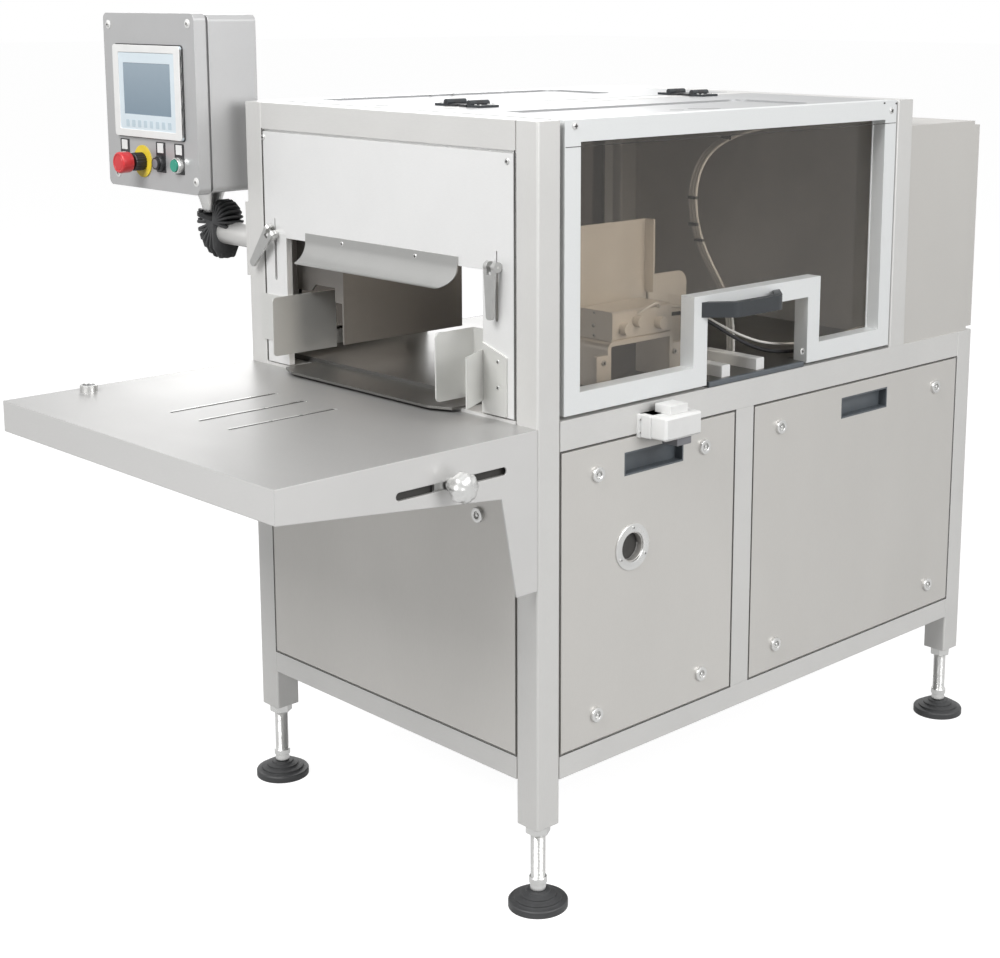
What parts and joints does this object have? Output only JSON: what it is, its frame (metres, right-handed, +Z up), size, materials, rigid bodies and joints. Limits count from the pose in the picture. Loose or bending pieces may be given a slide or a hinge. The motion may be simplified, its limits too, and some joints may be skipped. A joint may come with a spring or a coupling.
{
  "type": "case packer",
  "caption": "Case packer: steel frame on levelling feet, glazed gull-wing guard, folded infeed table, carton guides, side pusher and a swivelling operator box.",
  "frame": {"origin": "on the floor under the middle of the machine's box", "axes": "+Z up, -Y towards the infeed table, +X towards the side with the connector"},
  "size_m": [1.16, 1.7479, 1.454],
  "materials": {
    "steel": "fine ground stainless steel",
    "bright_steel": "bright turned steel",
    "hood_aluminium": "pale satin anodised",
    "mechanism": "machined aluminium",
    "window": "bronze tinted clear sheet",
    "black_rubber": "matt black rubber",
    "black_plastic": "matt black",
    "grey_plastic": "dark blue grey moulded plastic",
    "white_plastic": "white plastic",
    "touch_frame": "pale blue grey film",
    "screen": "dark blue grey display",
    "red_plastic": "signal red",
    "yellow_plastic": "signal yellow",
    "green_plastic": "dark green",
    "ring_chrome": "chrome ring"
  },
  "bodies": {
    "machine": {"frame_posts": "steel", "frame_rails": "steel", "frame_mullions": "steel", "roof_beams": "steel", "roof_spine": "steel", "foot_pads": "black_rubber", "foot_spindles": "steel", "base_panels": "steel", "recessed_pulls": "grey_plastic", "panel_locks": "bright_steel", "port_ring": "bright_steel", "deck_plate": "mechanism", "deck_edge_strips": "grey_plastic", "slide_blocks": "white_plastic", "rear_cabinet": "steel", "rear_cabinet_door": "steel", "front_cover": "steel", "flared_deflector": "steel", "carton_guides": "steel", "tray_lip": "steel", "inner_carton_plate": "steel", "infeed_table": "steel", "table_sensor": "bright_steel", "rail_connector": "white_plastic", "connector_gland": "black_plastic", "panel_arm": "steel", "arm_boot": "black_rubber", "neck_cone": "steel", "cover_studs": "bright_steel", "cylinder_block": "mechanism", "hat_bracket": "steel", "side_plate": "mechanism", "spine_hinges": "black_plastic"},
    "right_hood": {"right_hood_frame": "hood_aluminium", "right_hood_lid": "hood_aluminium", "right_window": "window", "right_hood_fittings": "grey_plastic"},
    "left_hood": {"left_hood_frame": "hood_aluminium", "left_hood_lid": "hood_aluminium", "left_window": "window", "left_hood_fittings": "grey_plastic"},
    "operator_panel": {"operator_box": "steel", "operator_box_lid": "steel", "touch_panel": "touch_frame", "touch_screen": "screen", "button_rings": "ring_chrome", "pilot_lamp": "white_plastic", "emergency_disc": "yellow_plastic", "emergency_collar": "black_plastic"},
    "emergency_stop": {"emergency_head": "red_plastic"},
    "black_button": {"stop_button": "black_plastic"},
    "green_button": {"start_button": "green_plastic"},
    "right_lever": {"right_cover_lever": "bright_steel"},
    "left_lever": {"left_cover_lever": "bright_steel"},
    "clamp": {"clamp_slide": "bright_steel"},
    "knob": {"clamp_knob": "bright_steel"},
    "pusher": {"side_pusher": "mechanism"}
  },
  "joints": [
    {"name": "right_hood_lift", "type": "hinge", "parent": "machine", "child": "right_hood", "pos_m": [0.168, 0.119, 1.304], "axis": [0, -1, 0], "range_deg": [0, 80]},
    {"name": "left_hood_lift", "type": "hinge", "parent": "machine", "child": "left_hood", "pos_m": [0.108, 0.119, 1.304], "axis": [0, 1, 0], "range_deg": [0, 80]},
    {"name": "panel_swivel", "type": "hinge", "parent": "machine", "child": "operator_panel", "pos_m": [-0.403, -0.351, 1.13], "axis": [0, 0, 1], "range_deg": [-90, 25]},
    {"name": "emergency_press", "type": "slide", "parent": "operator_panel", "child": "emergency_stop", "axis": [0, 1, 0], "range_m": [0, 0.005], "stiffness_N_per_m": 800},
    {"name": "black_press", "type": "slide", "parent": "operator_panel", "child": "black_button", "axis": [0, 1, 0], "range_m": [0, 0.003], "stiffness_N_per_m": 500},
    {"name": "green_press", "type": "slide", "parent": "operator_panel", "child": "green_button", "axis": [0, 1, 0], "range_m": [0, 0.003], "stiffness_N_per_m": 500},
    {"name": "right_lever_flip", "type": "hinge", "parent": "machine", "child": "right_lever", "pos_m": [0.429, -0.385, 1.068], "axis": [-1, 0, 0], "range_deg": [0, 100]},
    {"name": "left_lever_flip", "type": "hinge", "parent": "machine", "child": "left_lever", "pos_m": [-0.162, -0.385, 1.068], "axis": [-0.766, 0, 0.6428], "range_deg": [0, 100]},
    {"name": "clamp_slide", "type": "slide", "parent": "machine", "child": "clamp", "axis": [0, 1, 0], "range_m": [-0.094, 0.1]},
    {"name": "knob_turn", "type": "hinge", "parent": "clamp", "child": "knob", "pos_m": [0.538, -0.555, 0.767], "axis": [1, 0, 0], "range_deg": [-180, 180]},
    {"name": "pusher_stroke", "type": "slide", "parent": "machine", "child": "pusher", "axis": [-1, 0, 0], "range_m": [0, 0.04]}
  ]
}
